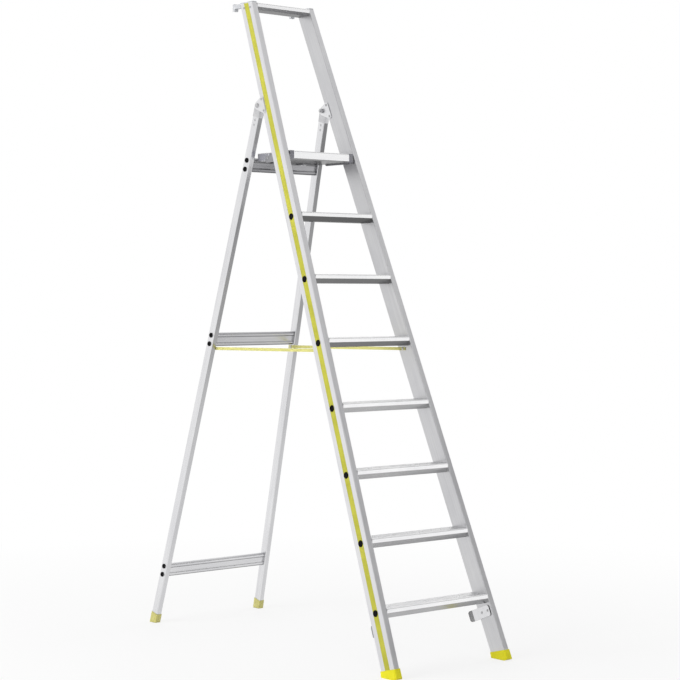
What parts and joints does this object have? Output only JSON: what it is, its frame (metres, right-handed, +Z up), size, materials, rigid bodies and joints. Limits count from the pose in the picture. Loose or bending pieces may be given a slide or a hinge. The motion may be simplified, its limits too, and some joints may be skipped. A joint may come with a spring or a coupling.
{
  "type": "platform stepladder",
  "caption": "Free-standing aluminium platform stepladder with leaning striped stiles, ribbed treads, a guard rail and a folding rear frame with spreader straps.",
  "frame": {"origin": "on the floor, in the middle of the rectangle around the ladder's footprint", "axes": "+Z up, -Y towards the climber, +X to the climber's right"},
  "size_m": [0.586, 1.5476, 2.5262],
  "materials": {
    "frame_aluminium": "satin mill finish",
    "ribbed_aluminium": "ribbed mill finish",
    "cast_aluminium": "fine cast",
    "plate_aluminium": "pressed plate",
    "fastener_steel": "zinc plated",
    "stripe_yellow": "satin",
    "plug_black": "matte",
    "front_foot_yellow": "matte",
    "rear_foot_yellow": "matte",
    "cap_grey": "matte",
    "strap_webbing": "woven"
  },
  "bodies": {
    "front_frame": {"front_strap_screws": "fastener_steel", "guide_rivets": "fastener_steel", "hinge_nuts": "fastener_steel", "hinge_rivets": "fastener_steel", "left_front_foot": "front_foot_yellow", "left_front_stile": "frame_aluminium", "left_guide_bracket": "plate_aluminium", "left_hinge_bolt": "fastener_steel", "left_hinge_inner_plate": "plate_aluminium", "left_hinge_outer_plate": "plate_aluminium", "left_strap": "strap_webbing", "left_stripe": "stripe_yellow", "left_top_cap": "cap_grey", "platform_pivot_bolts": "fastener_steel", "platform_pivot_nuts": "fastener_steel", "platform_washers": "fastener_steel", "right_front_foot": "front_foot_yellow", "right_front_stile": "frame_aluminium", "right_guide_bracket": "plate_aluminium", "right_hinge_bolt": "fastener_steel", "right_hinge_inner_plate": "plate_aluminium", "right_hinge_outer_plate": "plate_aluminium", "right_strap": "strap_webbing", "right_stripe": "stripe_yellow", "right_top_cap": "cap_grey", "top_rail": "ribbed_aluminium", "top_rail_screws": "fastener_steel", "tread_1": "ribbed_aluminium", "tread_2": "ribbed_aluminium", "tread_3": "ribbed_aluminium", "tread_4": "ribbed_aluminium", "tread_5": "ribbed_aluminium", "tread_6": "ribbed_aluminium", "tread_7": "ribbed_aluminium", "tread_plugs": "plug_black"},
    "rear_frame": {"crossbar_plugs": "plug_black", "knuckle_rivets": "fastener_steel", "left_leg_knuckle": "cast_aluminium", "left_rear_foot": "rear_foot_yellow", "left_rear_leg": "frame_aluminium", "lower_crossbar": "frame_aluminium", "middle_crossbar": "frame_aluminium", "rear_strap_screws": "fastener_steel", "right_leg_knuckle": "cast_aluminium", "right_rear_foot": "rear_foot_yellow", "right_rear_leg": "frame_aluminium", "upper_crossbar": "frame_aluminium"},
    "platform": {"platform_deck": "ribbed_aluminium", "left_platform_rail": "cast_aluminium", "right_platform_rail": "cast_aluminium", "platform_screws": "fastener_steel", "left_platform_hook": "cast_aluminium", "right_platform_hook": "cast_aluminium", "hook_rivets": "fastener_steel"}
  },
  "joints": [
    {"name": "rear_fold", "type": "hinge", "parent": "front_frame", "child": "rear_frame", "pos_m": [0, 0.16989, 2.105], "axis": [-1, 0, 0], "range_deg": [0, 37.25], "deforming": ["left_strap", "right_strap"]},
    {"name": "platform_tilt", "type": "hinge", "parent": "front_frame", "child": "platform", "pos_m": [0, 0.02398, 1.8985], "axis": [1, 0, 0], "range_deg": [0, 68.25]}
  ],
  "couplings": [
    {"joint": "platform_tilt", "follows": "rear_fold", "ratio": 1.8322}
  ]
}
